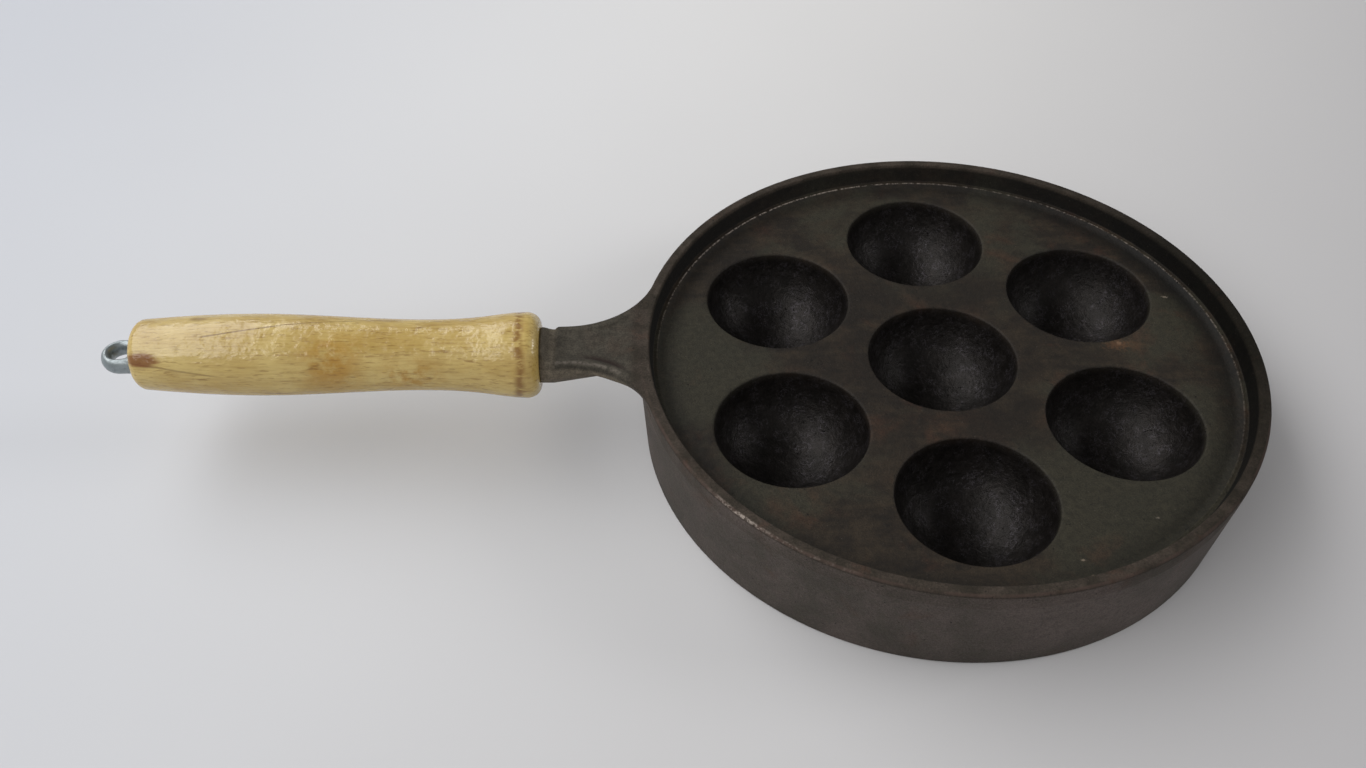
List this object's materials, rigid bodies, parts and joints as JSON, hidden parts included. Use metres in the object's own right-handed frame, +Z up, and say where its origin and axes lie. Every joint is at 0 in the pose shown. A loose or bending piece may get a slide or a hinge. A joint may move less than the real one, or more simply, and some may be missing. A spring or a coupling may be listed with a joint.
{
  "type": "cup pan",
  "caption": "Round cast iron pan with hemispherical cups for filled pancakes, a stepped rim and a turned wooden grip held on by an eye rod.",
  "frame": {"origin": "centre of the ring that the pan stands on, at the height of the hob", "axes": "+Z up out of the cups; the handle points along -X and rises 1.6 degrees; +Y is to the left of someone who holds the grip and looks along +X at the pan"},
  "size_m": [0.41, 0.22, 0.0544],
  "materials": {
    "iron": "sandy as-cast surface, oiled, smoother in the cups",
    "wood": "pale beech with glossy clear varnish",
    "steel": "zinc plated"
  },
  "bodies": {
    "pan": {"pan_casting": "iron"},
    "grip": {"wooden_grip": "wood"},
    "rod": {"eye_rod": "steel"}
  },
  "joints": [
    {"name": "grip_slide", "type": "slide", "parent": "pan", "child": "grip", "axis": [-0.9996, 0, 0.0279], "range_m": [0, 0.012]},
    {"name": "rod_turn", "type": "hinge", "parent": "grip", "child": "rod", "pos_m": [-0.28675, 0, 0.04097], "axis": [-0.9996, 0, 0.0279], "range_deg": [0, 4320]}
  ],
  "couplings": [
    {"joint": "rod_turn", "follows": "grip_slide", "rad_per_m": 6283.2}
  ]
}
